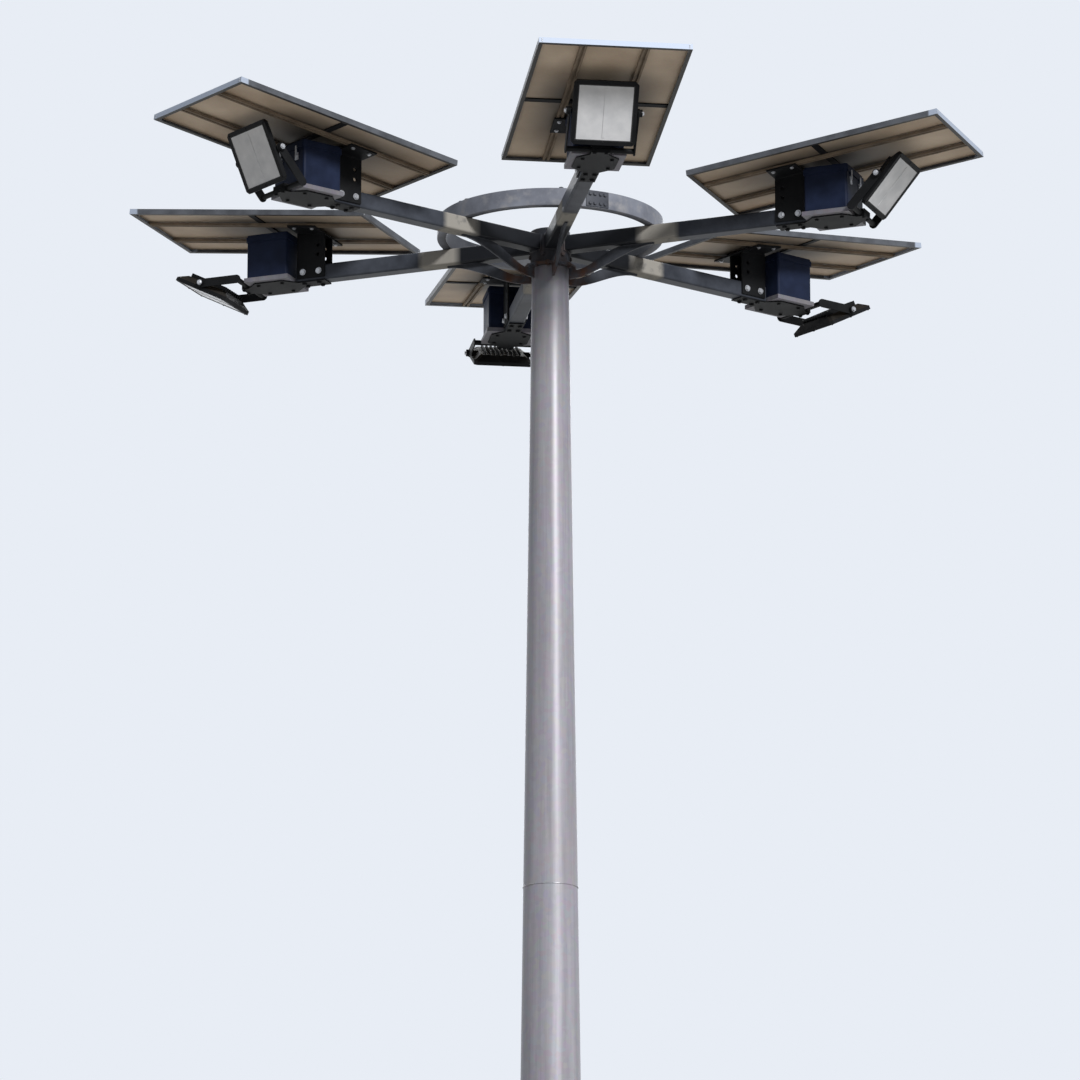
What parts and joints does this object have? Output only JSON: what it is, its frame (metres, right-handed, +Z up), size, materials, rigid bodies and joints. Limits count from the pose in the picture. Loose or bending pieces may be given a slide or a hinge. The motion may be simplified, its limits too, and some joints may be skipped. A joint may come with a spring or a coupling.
{
  "type": "solar high mast floodlight",
  "caption": "Conical steel mast with a slip-on ring head: radial arms each carry a solar panel, a battery box and a floodlight that tilts in a yoke.",
  "frame": {"origin": "centre of the base plate's underside, at ground level", "axes": "+Z up the mast; head 1 points along -Y and heads count anticlockwise from above; the picture looks roughly along +Y"},
  "size_m": [3.774, 3.971, 10.3179],
  "materials": {
    "mast_paint": "satin light grey paint on rolled steel, weathered",
    "base_paint": "satin light grey paint on steel plate",
    "frame_paint": "satin mid grey paint on steel sections",
    "bracket_paint": "matt black powder coat on steel plate",
    "panel_aluminium": "anodised aluminium extrusion, dark underneath",
    "panel_glass": "glass over dark cells, tan backsheet",
    "box_paint": "dark navy powder coat on sheet steel",
    "zinc_steel": "zinc plated steel sheet",
    "rail_steel": "tan coated slotted steel rail, dusty",
    "diffuser_glass": "frosted glass diffuser",
    "lamp_casting": "black powder coat on die cast aluminium"
  },
  "bodies": {
    "tower": {"base_plate": "base_paint", "base_gussets": "base_paint", "mast_base_section": "mast_paint", "mast_middle_section": "mast_paint", "mast_top_section": "mast_paint", "hub_sleeve": "frame_paint", "ring": "frame_paint", "knee_braces": "frame_paint", "arm_1": "frame_paint", "arm_2": "frame_paint", "arm_3": "frame_paint", "arm_4": "frame_paint", "arm_5": "frame_paint", "arm_6": "frame_paint", "panel_brackets": "bracket_paint", "panel_frame_1": "panel_aluminium", "panel_frame_2": "panel_aluminium", "panel_frame_3": "panel_aluminium", "panel_frame_4": "panel_aluminium", "panel_frame_5": "panel_aluminium", "panel_frame_6": "panel_aluminium", "panel_laminates": "panel_glass", "panel_rails": "rail_steel", "panel_cross_bars": "bracket_paint", "tray_brackets": "bracket_paint", "box_trays": "zinc_steel", "battery_box_1": "box_paint", "battery_box_2": "box_paint", "battery_box_3": "box_paint", "battery_box_4": "box_paint", "battery_box_5": "box_paint", "battery_box_6": "box_paint", "lamp_yokes": "bracket_paint"},
    "floodlight_1": {"lamp_1": "lamp_casting", "lamp_glass_1": "diffuser_glass"},
    "floodlight_2": {"lamp_2": "lamp_casting", "lamp_glass_2": "diffuser_glass"},
    "floodlight_3": {"lamp_3": "lamp_casting", "lamp_glass_3": "diffuser_glass"},
    "floodlight_4": {"lamp_4": "lamp_casting", "lamp_glass_4": "diffuser_glass"},
    "floodlight_5": {"lamp_5": "lamp_casting", "lamp_glass_5": "diffuser_glass"},
    "floodlight_6": {"lamp_6": "lamp_casting", "lamp_glass_6": "diffuser_glass"}
  },
  "joints": [
    {"name": "lamp_tilt_1", "type": "hinge", "parent": "tower", "child": "floodlight_1", "pos_m": [0, -1.63728, 10.11025], "axis": [1, 0, 0], "range_deg": [-20, 30]},
    {"name": "lamp_tilt_2", "type": "hinge", "parent": "tower", "child": "floodlight_2", "pos_m": [1.41793, -0.81864, 10.11025], "axis": [0.5, 0.866, 0], "range_deg": [-30, 20]},
    {"name": "lamp_tilt_3", "type": "hinge", "parent": "tower", "child": "floodlight_3", "pos_m": [1.47008, 0.84875, 9.975], "axis": [-0.5, 0.866, 0], "range_deg": [-53, 12]},
    {"name": "lamp_tilt_4", "type": "hinge", "parent": "tower", "child": "floodlight_4", "pos_m": [0, 1.6975, 9.975], "axis": [-1, 0, 0], "range_deg": [-53, 12]},
    {"name": "lamp_tilt_5", "type": "hinge", "parent": "tower", "child": "floodlight_5", "pos_m": [-1.47008, 0.84875, 9.975], "axis": [-0.5, -0.866, 0], "range_deg": [-53, 12]},
    {"name": "lamp_tilt_6", "type": "hinge", "parent": "tower", "child": "floodlight_6", "pos_m": [-1.41793, -0.81864, 10.11025], "axis": [0.5, -0.866, 0], "range_deg": [-15, 35]}
  ]
}
